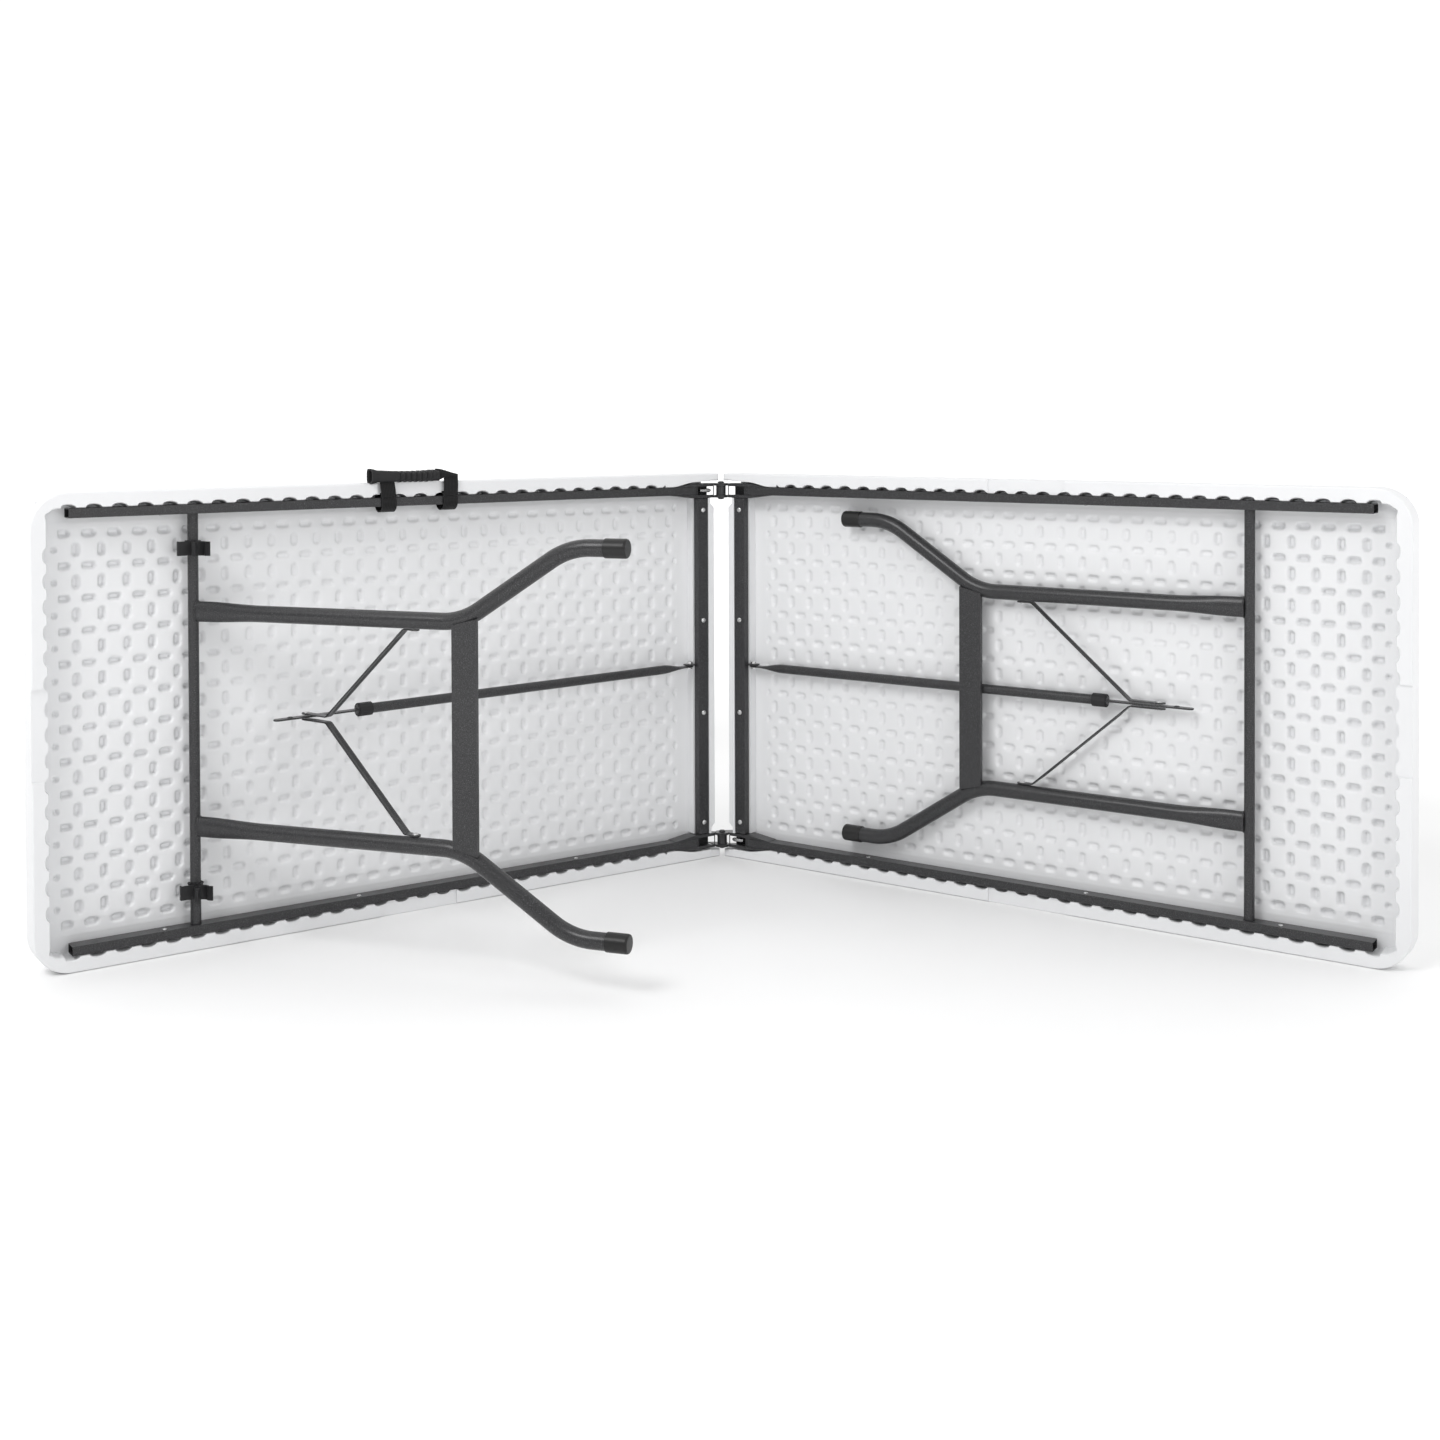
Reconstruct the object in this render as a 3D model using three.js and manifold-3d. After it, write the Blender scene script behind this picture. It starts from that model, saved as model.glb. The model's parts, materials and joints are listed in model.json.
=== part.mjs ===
// A centre-folding banquet table, half opened and standing on its long edges. Millimetres, +Z up.
// Each half is drawn in its own frame: x (u) runs from the centre hinge out to the end, y (w) is measured
// from the middle of the width, and z (n) points out of the underside. z = 0 is the plane of the hinge axis.
import * as THREE from "three";
import { mergeVertices } from "three/addons/utils/BufferGeometryUtils.js";
import Module from "manifold-3d";

const DEG = Math.PI / 180;
const GAP = 0.3; // clearance left between touching pieces

// Pose of the table as stored
const HALF_LEAN = 34.55 * DEG; // each half is turned back this far from the straight line
const LEFT_LEG_ANGLE = 53.5 * DEG; // 0 is folded flat
const RIGHT_LEG_ANGLE = 0;
const HINGE_AXIS_Y = 369.97; // puts the origin at the bottom centre of the whole table

// Tabletop halves
const LENGTH = 1200;
const WIDTH = 700;
const RIM_FACE = -2;
const PANEL_FACE = -34;
const TOP_FACE = -47;
const CORNER_RADIUS = 55;
const RIM_WIDTH = 23.5;
const RECESS_CORNER = 16;
const HINGE_EDGE = 13.5; // the hinge-side edge stands back this far from the axis
const HINGE_CORNER = 3;
const HINGE_CORNER_WIDTH = 13;
const HINGE_RELIEF = 21;
const GRIP_RECESS = { length: 135, depth: 3 };
const EDGE_MIDDLE = 600;

// Side rails, rectangular tube
const RAIL_INSIDE = 312;
const RAIL_OUTSIDE = 326;
const RAIL_MIDDLE = (RAIL_INSIDE + RAIL_OUTSIDE) / 2;
const RAIL_BACK = -27;
const RAIL_START = 53;
const RAIL_END = 1146;
const RAIL_WALL = 1.2;

// Crossbar at the hinge side, a channel that sits on a ledge of the tabletop
const CROSSBAR = { inner: 27, outer: 48, half: 305.2, thickness: 1.5, face: -3, foot: -17 };
const LEDGE_FACE = -17.5;

// Centre hinges
const BRACKET = { half: 13, wall: 2, lip: 5.3, windowStart: 15, windowEnd: 50, blockStart: 14.3, end: 100 };
const EYE_RADIUS = 13;
const HINGE_PIN_RADIUS = 3.8;
const HINGE_HOLE_RADIUS = 4.3;

// Legs
const LEG_PIVOT_U = 962;
const LEG_PIVOT_N = -14.5;
const PIVOT_TUBE_RADIUS = 8;
const LEG_RADIUS = 12.5;
const LEG_WALL = 1.3;
const LEG_NEAR = 163.5; // distance of a leg from the middle of the table, near its pivot
const LEG_FAR = 274.5; // and at its foot
const LEG_END = 706;
const BEND_START = 421;
const BEND_RADIUS = 110;
const BEND_ANGLE = 33.5 * DEG;
const BRACE_BAR = { start: 443, end: 482, front: -12.5, back: -5 };
const FOOT_CAP = { radius: 14, length: 34, end: 4 };

// Folding lock: a centre rod from the crossbar, and two struts from the legs, joined at an apex
const STRUT_PIVOT_S = 375; // along the leg
const STRUT_PIVOT_E = 3.5; // behind the leg's axis
const STRUT_REACH = 232.4;
const STRUT = { thickness: 2.4, half: 6.5, legFace: 150.5, apexFace: 3.2, legFlat: 18, apexFlat: 46, overhang: 11 };
const ROD_PIVOT = new THREE.Vector2(58.5, -18);
const ROD_RADIUS = 7.9;
const ROD_TO_APEX = 85; // from the end of the tube to the apex rivet
const TONGUE = { half: 7, halfThickness: 1.25, beyond: 55, stud: 28 };
const RING = { inner: 8.6, outer: 10.8, length: 24 };

// Closing clips on the left leg pivot tube
const CLIP = { w: 260, half: 11, wall: 2.6 };
const TUBE_SPACING = -2 * LEG_PIVOT_N; // between the two pivot tubes once the table is closed

// Carry handle on the left half's upper rail
const STRAP_WIDTH = 25;
const OUTER_STRAP_U = 648.5;
const INNER_STRAP_U = 540.5;
const STRAP_RING = { inner: 14.9, outer: 16.9 };
const GRIP = { start: 562, end: 681, bottom: 350.8, top: 372, back: -14, front: 8 };

const plastic = (colour, roughness) =>
  new THREE.MeshStandardMaterial({ color: colour, roughness, metalness: 0 });
const materials = {
  top: plastic(0xe9ebec, 0.45),
  black: plastic(0x262626, 0.55),
  webbing: plastic(0x222222, 0.9),
  steel: new THREE.MeshStandardMaterial({ color: 0x4a4a4c, roughness: 0.45, metalness: 0.6 }),
  zinc: new THREE.MeshStandardMaterial({ color: 0xc4c6c8, roughness: 0.3, metalness: 1 }),
};

// ---- solids ------------------------------------------------------------------------------------------

const wasm = await Module();
wasm.setup();

function solid(geometry) {
  const bare = geometry.clone();
  bare.deleteAttribute("normal");
  bare.deleteAttribute("uv");
  const merged = mergeVertices(bare, 1e-4);
  return new wasm.Manifold(
    new wasm.Mesh({
      numProp: 3,
      vertProperties: merged.attributes.position.array,
      triVerts: new Uint32Array(merged.index.array),
    }),
  );
}

function geometryOf(manifold) {
  const mesh = manifold.getMesh();
  const geometry = new THREE.BufferGeometry();
  geometry.setAttribute("position", new THREE.BufferAttribute(mesh.vertProperties, 3));
  geometry.setIndex(new THREE.BufferAttribute(mesh.triVerts, 1));
  geometry.computeVertexNormals();
  return geometry;
}

const joined = (...geometries) => geometryOf(geometries.map(solid).reduce((a, b) => a.add(b)));

const cut = (geometry, ...tools) =>
  geometryOf(tools.map(solid).reduce((a, b) => a.subtract(b), solid(geometry)));

const outline = (points) => new THREE.Shape(points.map(([x, y]) => new THREE.Vector2(x, y)));

const extrude = (shape, depth) =>
  new THREE.ExtrudeGeometry(shape, { depth, bevelEnabled: false, curveSegments: 6 });

// An outline in (u, w), between two levels of n.
const alongN = (shape, from, to) => extrude(shape, to - from).translate(0, 0, from);

// An outline in (u, n), between two levels of w.
const alongW = (shape, from, to) => extrude(shape, to - from).rotateX(Math.PI / 2).translate(0, to, 0);

// An outline in (w, n), between two levels of u.
function alongU(shape, from, to) {
  const turn = new THREE.Matrix4().makeBasis(
    new THREE.Vector3(0, 1, 0),
    new THREE.Vector3(0, 0, 1),
    new THREE.Vector3(1, 0, 0),
  );
  return extrude(shape, to - from).applyMatrix4(turn).translate(from, 0, 0);
}

const rectangle = (x0, x1, y0, y1) => outline([[x0, y0], [x1, y0], [x1, y1], [x0, y1]]);

const box = (u0, u1, w0, w1, n0, n1) => alongN(rectangle(u0, u1, w0, w1), n0, n1);

// A round bar along w, between two levels, at (u, n).
const barAlongW = (radius, from, to, u, n, sides = 16) =>
  new THREE.CylinderGeometry(radius, radius, to - from, sides).translate(u, (from + to) / 2, n);

// A domed rivet or pin head, flat side at `from`, rising to `to` along w.
function domedHead(radius, from, to, u, n) {
  const rise = to - from;
  const profile = [[0, 0], [radius, 0], [radius, rise * 0.35], [radius * 0.7, rise * 0.85], [0, rise]];
  const head = new THREE.LatheGeometry(profile.map(([x, y]) => new THREE.Vector2(x, y)), 12);
  return head.translate(u, from, n);
}

// A strip of even thickness that follows a bent line, with mitred corners.
function strip(points, thickness) {
  const line = points.map(([x, y]) => new THREE.Vector2(x, y));
  const normals = line.slice(1).map((p, i) => {
    const along = p.clone().sub(line[i]).normalize();
    return new THREE.Vector2(-along.y, along.x);
  });
  const offset = (side) =>
    line.map((p, i) => {
      const before = normals[Math.max(i - 1, 0)];
      const after = normals[Math.min(i, normals.length - 1)];
      const mitre = before.clone().add(after).normalize();
      return p.clone().addScaledVector(mitre, (side * thickness) / 2 / mitre.dot(after));
    });
  return new THREE.Shape([...offset(-1), ...offset(1).reverse()]);
}

const arc = (x, y, radius, from, to, steps) =>
  Array.from({ length: steps + 1 }, (_, i) => {
    const angle = (from + ((to - from) * i) / steps) * DEG;
    return [x + radius * Math.cos(angle), y + radius * Math.sin(angle)];
  });

// A tube or bar through stations { x, y, width, depth }: width is its half-size across the path in the
// x-y plane, depth its half-size along z.
function sweep(stations, sides) {
  const geometry = new THREE.CylinderGeometry(1, 1, 1, sides, stations.length - 1);
  const position = geometry.getAttribute("position");
  for (let i = 0; i < position.count; i++) {
    const k = Math.round((0.5 - position.getY(i)) * (stations.length - 1));
    const before = stations[Math.max(k - 1, 0)];
    const after = stations[Math.min(k + 1, stations.length - 1)];
    const along = new THREE.Vector2(after.x - before.x, after.y - before.y).normalize();
    const { x, y, width, depth } = stations[k];
    const across = position.getX(i) * width;
    position.setXYZ(i, x - along.y * across, y + along.x * across, position.getZ(i) * depth);
  }
  return geometry;
}

// ---- assembly helpers --------------------------------------------------------------------------------

function add(parent, name, geometry, material) {
  const mesh = new THREE.Mesh(geometry, material.clone());
  mesh.name = name;
  parent.add(mesh);
}

// Builds a piece above the middle of the width and its mirror image below it.
function mirroredPair(parent, build) {
  for (const [place, sign] of [["upper", 1], ["lower", -1]]) {
    const group = new THREE.Group();
    group.scale.y = sign;
    parent.add(group);
    build(group, place);
  }
}

// ---- tabletop ----------------------------------------------------------------------------------------

// The outer outline of a half, with the hinge side relieved around both hinges.
function topOutline() {
  const side = WIDTH / 2;
  const corner = CORNER_RADIUS;
  const lug = side - HINGE_CORNER_WIDTH;
  const lower = [
    [HINGE_EDGE, -288],
    [HINGE_RELIEF, -296],
    [HINGE_RELIEF, -lug],
    [HINGE_CORNER, -lug],
    [HINGE_CORNER, -side],
    ...arc(LENGTH - corner, corner - side, corner, -90, 0, 8),
  ];
  const upper = lower.map(([u, w]) => [u, -w]).reverse();
  return outline([...lower, ...upper]);
}

// The recess that holds the rails and the folded legs.
function recessOutline() {
  const wall = WIDTH / 2 - RIM_WIDTH;
  const corner = RECESS_CORNER;
  const end = LENGTH - RIM_WIDTH;
  const lower = [
    [CROSSBAR.outer, -305.6],
    [0, -305.6],
    [0, -334.8],
    [64, -334.8],
    [112, -wall],
    ...arc(end - corner, corner - wall, corner, -90, 0, 6),
  ];
  const upper = lower.map(([u, w]) => [u, -w]).reverse();
  return outline([...lower, ...upper]);
}

function tabletop(strapPositions) {
  const side = WIDTH / 2;
  const recess = GRIP_RECESS;
  const past = 5;
  const tools = [
    alongN(recessOutline(), PANEL_FACE, RIM_FACE + past),
    box(CROSSBAR.inner - 0.5, CROSSBAR.outer + 1, -310, 310, LEDGE_FACE, RIM_FACE + past),
  ];
  for (const edge of [-1, 1]) {
    const [w0, w1] = [side - RIM_WIDTH - past, side + past].map((w) => w * edge).sort((a, b) => a - b);
    const [u0, u1] = [EDGE_MIDDLE - recess.length / 2, EDGE_MIDDLE + recess.length / 2];
    tools.push(box(u0, u1, w0, w1, RIM_FACE - recess.depth, RIM_FACE + past));
  }
  tools.push(
    box(LENGTH - RIM_WIDTH - past, LENGTH + past, -recess.length / 2, recess.length / 2,
      RIM_FACE - recess.depth, RIM_FACE + past),
  );
  for (const u of strapPositions) {
    const pocket = new THREE.CylinderGeometry(17.8, 17.8, STRAP_WIDTH + 3, 20).rotateZ(Math.PI / 2);
    tools.push(pocket.translate(u, RAIL_MIDDLE, LEG_PIVOT_N));
  }
  return cut(alongN(topOutline(), TOP_FACE, RIM_FACE), ...tools);
}

// ---- frame -------------------------------------------------------------------------------------------

function rail() {
  const section = rectangle(RAIL_INSIDE, RAIL_OUTSIDE, RAIL_BACK, RIM_FACE);
  const hollow = rectangle(
    RAIL_INSIDE + RAIL_WALL,
    RAIL_OUTSIDE - RAIL_WALL,
    RAIL_BACK + RAIL_WALL,
    RIM_FACE - RAIL_WALL,
  );
  section.holes.push(new THREE.Path(hollow.getPoints().reverse()));
  const pivotHole = barAlongW(PIVOT_TUBE_RADIUS + 0.6, RAIL_INSIDE - 5, RAIL_MIDDLE, LEG_PIVOT_U, LEG_PIVOT_N);
  return cut(alongU(section, RAIL_START, RAIL_END), pivotHole);
}

function crossbar() {
  const { inner, outer, half, thickness, face, foot } = CROSSBAR;
  const section = outline([
    [inner, foot],
    [inner + thickness, foot],
    [inner + thickness, face - thickness],
    [outer - thickness, face - thickness],
    [outer - thickness, foot],
    [outer, foot],
    [outer, face],
    [inner, face],
  ]);
  return alongW(section, -half, half);
}

// ---- centre hinges -----------------------------------------------------------------------------------

// A boxed channel that holds the end of the rail, with two eyes around the hinge pin. The eyes of the
// "outer" bracket stand outside those of the "inner" one.
function hingeBracket(kind) {
  const { half, wall, lip, windowStart, windowEnd, blockStart, end } = BRACKET;
  const inner = kind === "inner";
  const eyeOuter = inner ? half - wall - GAP : half;
  const eyeInner = eyeOuter - wall;
  const eyes = joined(
    barAlongW(EYE_RADIUS, -eyeOuter, eyeOuter, 0, 0, 24),
    alongW(outline([[-9, -9.3], [0, 0], [12.8, RIM_FACE], [24, RIM_FACE], [24, RAIL_BACK], [14, RAIL_BACK]]),
      -eyeOuter, eyeOuter),
  );
  const block = box(blockStart, end, -half, half, RAIL_BACK, RIM_FACE);
  const taper = (sign) =>
    alongN(outline([[62, sign * half], [end + 5, sign * 7], [end + 5, sign * 20], [62, sign * 20]]), -40, 10);
  const whole = joined(eyes, block);
  return cut(
    whole,
    box(-20, blockStart, -eyeInner, eyeInner, -40, 20),
    box(blockStart - 1, windowEnd + 3, -(half - wall), half - wall, RAIL_BACK + wall, RIM_FACE - wall),
    box(windowStart, windowEnd, lip - half, half - lip, RIM_FACE - wall - 1, 20),
    box(RAIL_START - GAP, end + 5, -7 - GAP, 7 + GAP, -40, 20),
    taper(1),
    taper(-1),
    barAlongW(HINGE_HOLE_RADIUS, -30, 30, 0, 0),
  );
}

// The barrel between the eyes, part of the inner bracket's knuckle.
function innerBracket() {
  const barrel = barAlongW(9, -(BRACKET.half - BRACKET.wall - 1), BRACKET.half - BRACKET.wall - 1, 0, 0);
  return cut(joined(hingeBracket("inner"), barrel), barAlongW(HINGE_HOLE_RADIUS, -30, 30, 0, 0));
}

function hingePin() {
  const reach = BRACKET.half + GAP;
  const shank = barAlongW(HINGE_PIN_RADIUS, -reach - 0.5, reach + 0.5, 0, 0);
  const head = domedHead(6, reach, reach + 3.5, 0, 0);
  const foot = head.clone().rotateX(Math.PI);
  return joined(shank, head, foot);
}

// The round bolt that lies in the outer bracket and points at the knuckle.
function hingeBolt() {
  const profile = [[0, 0], [3.75, 0], [3.75, 20], [2, 24], [0, 24]];
  const bolt = new THREE.LatheGeometry(profile.map(([x, y]) => new THREE.Vector2(x, y)), 14);
  return bolt.rotateZ(Math.PI / 2).translate(41, 0, -9.5);
}

// ---- legs --------------------------------------------------------------------------------------------

// Centre line of a leg in (s, w): straight, out through two equal bends, then straight to the foot.
function legLine() {
  const r = BEND_RADIUS;
  const a = BEND_ANGLE;
  const rise = LEG_FAR - LEG_NEAR;
  const straight = (rise - 2 * r * (1 - Math.cos(a))) / Math.sin(a);
  const run = 2 * r * Math.sin(a) + straight * Math.cos(a);
  const first = arc(BEND_START, LEG_NEAR + r, r, -90, -90 + a / DEG, 4);
  const second = arc(BEND_START + run, LEG_FAR - r, r, 90 + a / DEG, 90, 4);
  return [...first, ...second];
}

// Stations of a leg tube, grown or shrunk by `extra`. Its end is pressed flat where it meets the pivot tube.
function legStations(extra, from, to) {
  const round = LEG_RADIUS + extra;
  const flat = { width: 15.5 + extra, depth: 8.5 + extra };
  const tapered = [
    { x: 38, y: LEG_NEAR, ...flat },
    { x: 75, y: LEG_NEAR, width: (flat.width + round) / 2, depth: (flat.depth + round) / 2 },
    { x: 115, y: LEG_NEAR, width: round, depth: round },
  ];
  const bends = legLine().map(([x, y]) => ({ x, y, width: round, depth: round }));
  return [
    { x: from, y: LEG_NEAR, ...flat },
    ...tapered.filter(({ x }) => x > from),
    ...bends,
    { x: to, y: LEG_FAR, width: round, depth: round },
  ];
}

function leg() {
  const start = PIVOT_TUBE_RADIUS + GAP + 0.2;
  return cut(sweep(legStations(0, start, LEG_END), 16), sweep(legStations(-LEG_WALL, 30, LEG_END + 5), 16));
}

function pivotTube() {
  const reach = RAIL_OUTSIDE - RAIL_WALL - 0.5;
  const tube = barAlongW(PIVOT_TUBE_RADIUS, -reach, reach, 0, 0);
  return cut(tube, barAlongW(PIVOT_TUBE_RADIUS - 1.2, -reach - 5, reach + 5, 0, 0));
}

function braceBar() {
  const { start, end, front, back } = BRACE_BAR;
  const near = LEG_NEAR - 3.5;
  const far = LEG_NEAR + 6.5;
  const bar = alongN(outline([[start, -near], [end, -far], [end, far], [start, near]]), front, back);
  const above = sweep(legStations(GAP, 10, LEG_END), 16);
  const below = sweep(legStations(GAP, 10, LEG_END), 16).rotateX(Math.PI);
  return cut(bar, above, below);
}

function footCap() {
  const { radius, length, end } = FOOT_CAP;
  const inner = LEG_RADIUS + GAP + 0.2;
  const profile = [
    [0, LEG_END + GAP],
    [inner, LEG_END + GAP],
    [inner, LEG_END + end - length],
    [radius, LEG_END + end - length],
    [radius, LEG_END + end - 1.5],
    [radius - 1.5, LEG_END + end],
    [0, LEG_END + end],
  ];
  const cap = new THREE.LatheGeometry(profile.map(([x, y]) => new THREE.Vector2(x, y)), 20);
  return cap.rotateZ(-Math.PI / 2).translate(0, LEG_FAR, 0);
}

// ---- folding lock ------------------------------------------------------------------------------------

const legPoint = (angle, s, e) =>
  new THREE.Vector2(
    LEG_PIVOT_U - s * Math.cos(angle) - e * Math.sin(angle),
    LEG_PIVOT_N + s * Math.sin(angle) - e * Math.cos(angle),
  );

// The rod is just short enough for the lock to lie in one line when the leg is folded.
const ROD_REACH = legPoint(0, STRUT_PIVOT_S, STRUT_PIVOT_E).distanceTo(ROD_PIVOT) + STRUT_REACH;

// Where the rod meets the struts, for a leg angle.
function apexPoint(angle) {
  const strutPivot = legPoint(angle, STRUT_PIVOT_S, STRUT_PIVOT_E);
  const across = strutPivot.clone().sub(ROD_PIVOT);
  const distance = across.length();
  const along = (distance ** 2 + ROD_REACH ** 2 - STRUT_REACH ** 2) / (2 * distance);
  const drop = Math.sqrt(Math.max(ROD_REACH ** 2 - along ** 2, 0));
  const unit = across.divideScalar(distance);
  return ROD_PIVOT.clone()
    .addScaledVector(unit, along)
    .addScaledVector(new THREE.Vector2(unit.y, -unit.x), drop);
}

// x runs from the rivet on the leg to the apex rivet.
function strut() {
  const { thickness, half, legFace, apexFace, legFlat, apexFlat, overhang } = STRUT;
  const legLevel = legFace - thickness / 2;
  const apexLevel = apexFace + thickness / 2;
  const line = [
    [-overhang, legLevel],
    [legFlat, legLevel],
    [STRUT_REACH - apexFlat, apexLevel],
    [STRUT_REACH + overhang, apexLevel],
  ];
  return cut(
    alongN(strip(line, thickness), -half, half),
    barAlongW(3.2, 140, 160, 0, 0, 12),
    barAlongW(3.2, 0, 10, STRUT_REACH, 0, 12),
  );
}

function apexRivet() {
  const face = STRUT.apexFace + STRUT.thickness + GAP;
  return joined(
    barAlongW(2.6, STRUT.apexFace - 1, face + 0.5, STRUT_REACH, 0, 12),
    domedHead(4.6, face, face + 2.2, STRUT_REACH, 0),
  );
}

function legRivet() {
  const face = STRUT.legFace - STRUT.thickness - GAP;
  const head = domedHead(4.6, 0, 2.2, 0, 0).rotateX(Math.PI).translate(STRUT_PIVOT_S, face, STRUT_PIVOT_E);
  return joined(barAlongW(2.6, face - 0.5, STRUT.legFace + GAP, STRUT_PIVOT_S, STRUT_PIVOT_E, 12), head);
}

function rod() {
  const tip = { width: 1.5, depth: 10.5 };
  const round = { width: ROD_RADIUS, depth: ROD_RADIUS };
  const stations = [
    { x: -6.2, y: 0, width: 1.5, depth: 3.5 },
    { x: -3, y: 0, width: 1.5, depth: 6.4 },
    { x: 3, y: 0, width: 1.5, depth: 6.6 },
    { x: 14, y: 0, ...tip },
    { x: 36, y: 0, width: 4.6, depth: 9.6 },
    { x: 62, y: 0, ...round },
    { x: ROD_REACH - ROD_TO_APEX, y: 0, ...round },
  ];
  const inner = { width: ROD_RADIUS - 1.2, depth: ROD_RADIUS - 1.2 };
  const hollow = sweep([{ x: 80, y: 0, ...inner }, { x: ROD_REACH, y: 0, ...inner }], 16);
  return cut(sweep(stations, 16), hollow, barAlongW(3.3, -10, 10, 0, 0, 12));
}

function tongue() {
  const { half, halfThickness, beyond, stud } = TONGUE;
  const start = ROD_REACH - ROD_TO_APEX + GAP;
  const tip = ROD_REACH + beyond - half;
  const shape = outline([[start, -half], [start, half], ...arc(tip, 0, half, 90, -90, 8)].reverse());
  const flat = alongW(shape, -halfThickness, halfThickness);
  return joined(flat, domedHead(4.5, halfThickness - 0.2, halfThickness + 1.5, ROD_REACH + stud, 0));
}

function lockRing() {
  const { inner, outer, length } = RING;
  const profile = [[inner, 0], [outer, 0], [outer, length], [inner, length], [inner, 0]];
  const ring = new THREE.LatheGeometry(profile.map(([x, y]) => new THREE.Vector2(x, y)), 16);
  return ring.rotateZ(-Math.PI / 2).translate(ROD_REACH - ROD_TO_APEX - 1 - length, 0, 0);
}

function rodLug() {
  const plate = rectangle(CROSSBAR.outer + GAP, ROD_PIVOT.x + 8, ROD_PIVOT.y - 8, ROD_PIVOT.y + 8);
  return cut(alongW(plate, 1.5 + GAP, 4.2), barAlongW(3.3, -10, 10, ROD_PIVOT.x, ROD_PIVOT.y, 12));
}

function rodBolt() {
  const nut = new THREE.CylinderGeometry(5.4, 5.4, 4, 6).translate(0, 4.2 + GAP + 2, 0);
  const head = new THREE.CylinderGeometry(5, 5, 2.5, 12).translate(0, -1.5 - GAP - 1.25, 0);
  return joined(barAlongW(2.8, -3, 9.5, 0, 0, 12), nut, head).translate(ROD_PIVOT.x, 0, ROD_PIVOT.y);
}

// ---- closing clips -----------------------------------------------------------------------------------

// Grips its own pivot tube, and opens towards the other half to take that half's tube.
function clip() {
  const { w, half, wall } = CLIP;
  const middle = PIVOT_TUBE_RADIUS + GAP + wall / 2;
  const own = strip(arc(0, 0, middle, -50, 230, 16), wall);
  const mouth = strip(
    [[11.5, TUBE_SPACING + 14.5], ...arc(0, TUBE_SPACING, middle, 52, -195, 15), [-14, TUBE_SPACING + 8]],
    wall,
  );
  const wing = strip([[0, 14], [18, 11.2], [25, 11.2], [25, 5.5]], wall);
  const pieces = [own, mouth, wing, rectangle(-5, 5, middle, TUBE_SPACING - middle)];
  return joined(...pieces.map((piece) => alongW(piece, w - half, w + half)));
}

// ---- carry handle ------------------------------------------------------------------------------------

// A webbing loop around the rail, with a tail that rises in front of the rim.
function strap(u, tail) {
  const { inner, outer } = STRAP_RING;
  const profile = [[inner, 0], [outer, 0], [outer, STRAP_WIDTH], [inner, STRAP_WIDTH], [inner, 0]];
  const loop = new THREE.LatheGeometry(profile.map(([x, y]) => new THREE.Vector2(x, y)), 20);
  loop.rotateZ(-Math.PI / 2).translate(u - STRAP_WIDTH / 2, RAIL_MIDDLE, LEG_PIVOT_N);
  return joined(loop, alongN(outline(tail), 0.3, 2.9));
}

function outerStrap() {
  const [low, high] = [RAIL_MIDDLE, GRIP.bottom - GAP];
  const half = STRAP_WIDTH / 2;
  const lean = 5;
  const u = OUTER_STRAP_U;
  return strap(u, [[u - half, low], [u + half, low], [u + half + lean, high], [u - half + lean, high]]);
}

function innerStrap() {
  const half = STRAP_WIDTH / 2;
  const [left, right] = [INNER_STRAP_U - half, INNER_STRAP_U + half];
  const end = GRIP.start - GAP;
  return strap(INNER_STRAP_U, [
    [left, RAIL_MIDDLE],
    [right, RAIL_MIDDLE],
    [right, GRIP.bottom + 1],
    [end, GRIP.bottom + 1],
    [end, GRIP.top - 3],
    [left, GRIP.top - 9],
  ]);
}

function grip() {
  const { start, end, bottom, top, back, front } = GRIP;
  const chamfer = 5;
  const section = outline([
    [bottom, back + chamfer],
    [bottom + chamfer, back],
    [top - chamfer, back],
    [top, back + chamfer],
    [top, front - chamfer],
    [top - chamfer, front],
    [bottom + chamfer, front],
    [bottom, front - chamfer],
  ].reverse());
  return alongU(section, start, end);
}

// ---- one half of the table ---------------------------------------------------------------------------

function addHinges(half, side) {
  for (const [place, sign] of [["upper", 1], ["lower", -1]]) {
    const group = new THREE.Group();
    group.position.y = sign * RAIL_MIDDLE;
    half.add(group);
    const outer = (side === "left") === (place === "upper");
    const bracket = outer ? hingeBracket("outer") : innerBracket();
    add(group, `${side}_hinge_bracket_${place}`, bracket, materials.steel);
    if (outer) add(group, `hinge_pin_${place}`, hingePin(), materials.steel);
    if (outer) add(group, `hinge_bolt_${place}`, hingeBolt(), materials.zinc);
  }
}

function addLegs(half, side, angle) {
  const frame = new THREE.Group();
  frame.position.set(LEG_PIVOT_U, 0, LEG_PIVOT_N);
  frame.rotation.y = Math.PI + angle;
  half.add(frame);
  add(frame, `${side}_leg_pivot_tube`, pivotTube(), materials.steel);
  add(frame, `${side}_leg_brace_bar`, braceBar(), materials.steel);
  mirroredPair(frame, (group, place) => {
    add(group, `${side}_leg_${place}`, leg(), materials.steel);
    add(group, `${side}_foot_cap_${place}`, footCap(), materials.black);
    add(group, `${side}_strut_rivet_${place}`, legRivet(), materials.zinc);
  });
}

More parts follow.
